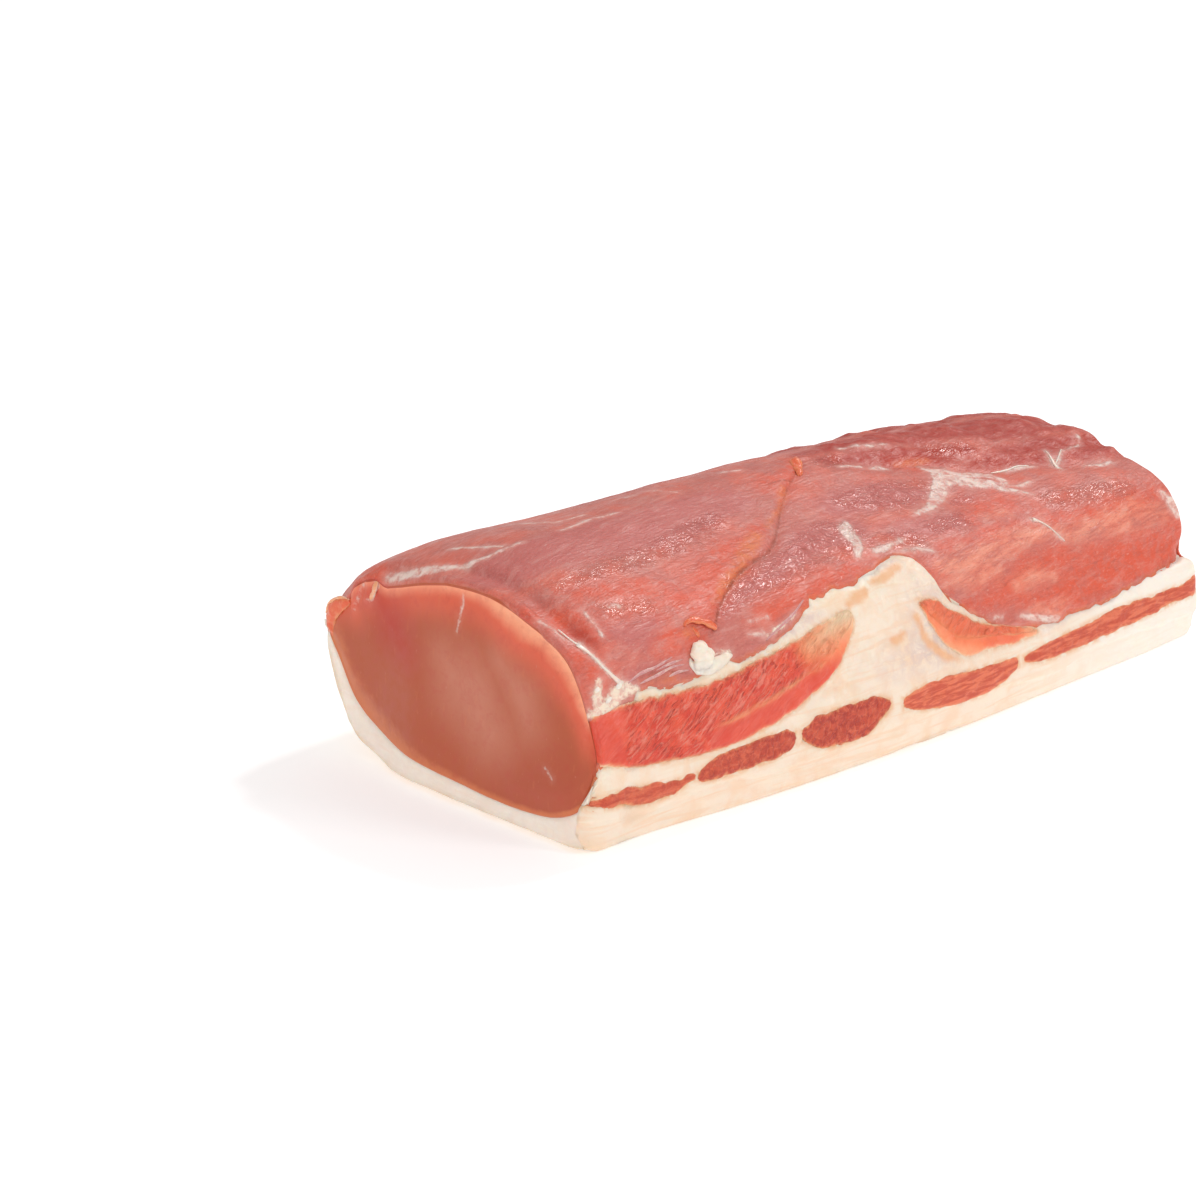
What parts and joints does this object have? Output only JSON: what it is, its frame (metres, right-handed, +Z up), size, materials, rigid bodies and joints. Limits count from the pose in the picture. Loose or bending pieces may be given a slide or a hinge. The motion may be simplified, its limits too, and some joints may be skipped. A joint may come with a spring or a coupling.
{
  "type": "boneless pork loin",
  "caption": "Raw boneless pork loin lying on its fat cap: a long rounded lean muscle, cut square at its ends, with creamy fat under it and up its belly side and strips of lean in the fat.",
  "frame": {"origin": "under the middle of the loin, in the plane it rests on", "axes": "+X along the loin from the near cut to the far cut, -Y the belly side, +Y the chine side, +Z up"},
  "size_m": [0.283, 0.1389, 0.0782],
  "materials": {
    "eye_lean": "moist satin",
    "loin_fat": "waxy satin",
    "rib_lean": "moist satin",
    "streak_lean": "moist satin"
  },
  "bodies": {
    "root": {"eye_muscle": "eye_lean", "fat_cap": "loin_fat", "rib_lean_front": "rib_lean", "rib_lean_rear": "rib_lean", "cap_streak_1": "streak_lean", "cap_streak_2": "streak_lean", "cap_streak_3": "streak_lean", "cap_streak_4": "streak_lean", "cap_streak_5": "streak_lean"}
  },
  "joints": []
}
